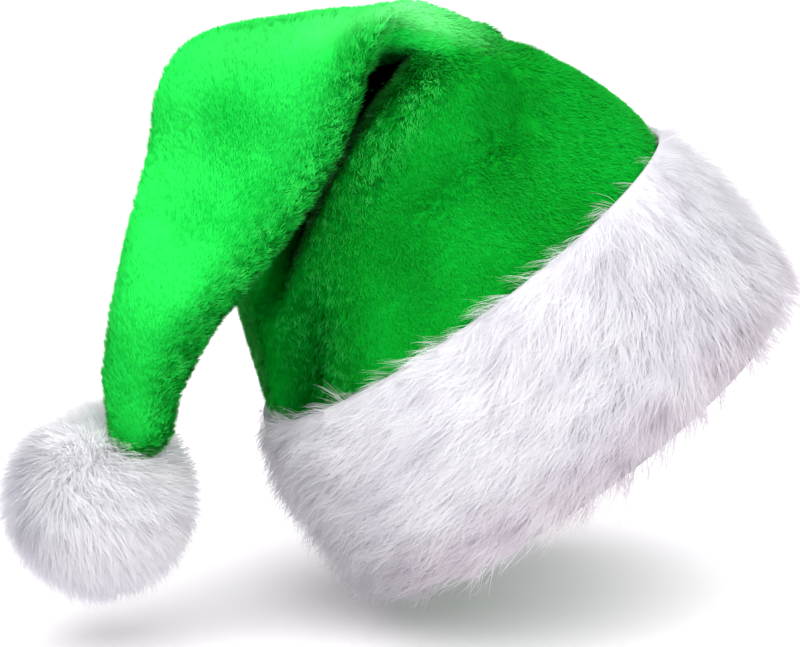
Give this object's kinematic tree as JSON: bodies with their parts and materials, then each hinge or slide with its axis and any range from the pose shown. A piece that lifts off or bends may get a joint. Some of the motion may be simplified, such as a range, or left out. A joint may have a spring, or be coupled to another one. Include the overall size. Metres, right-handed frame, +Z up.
{
  "type": "santa hat",
  "caption": "Soft plush cone hat with a wide fur cuff; its tip folds over the top, hangs down in front and ends in a fur pompom.",
  "frame": {"origin": "centre of the head opening, in the plane of the cuff's lower edge", "axes": "+X towards the raised front of the head opening, +Y away from the side the tail hangs on, +Z up as worn"},
  "size_m": [0.3363, 0.2043, 0.2641],
  "materials": {
    "plush_green": "short dense plush pile, bright green",
    "fur_white": "long soft faux fur, white",
    "pompom_white": "long soft faux fur ball, white"
  },
  "bodies": {
    "root": {"crown": "plush_green", "fur_cuff": "fur_white", "pompom": "pompom_white"}
  },
  "joints": []
}
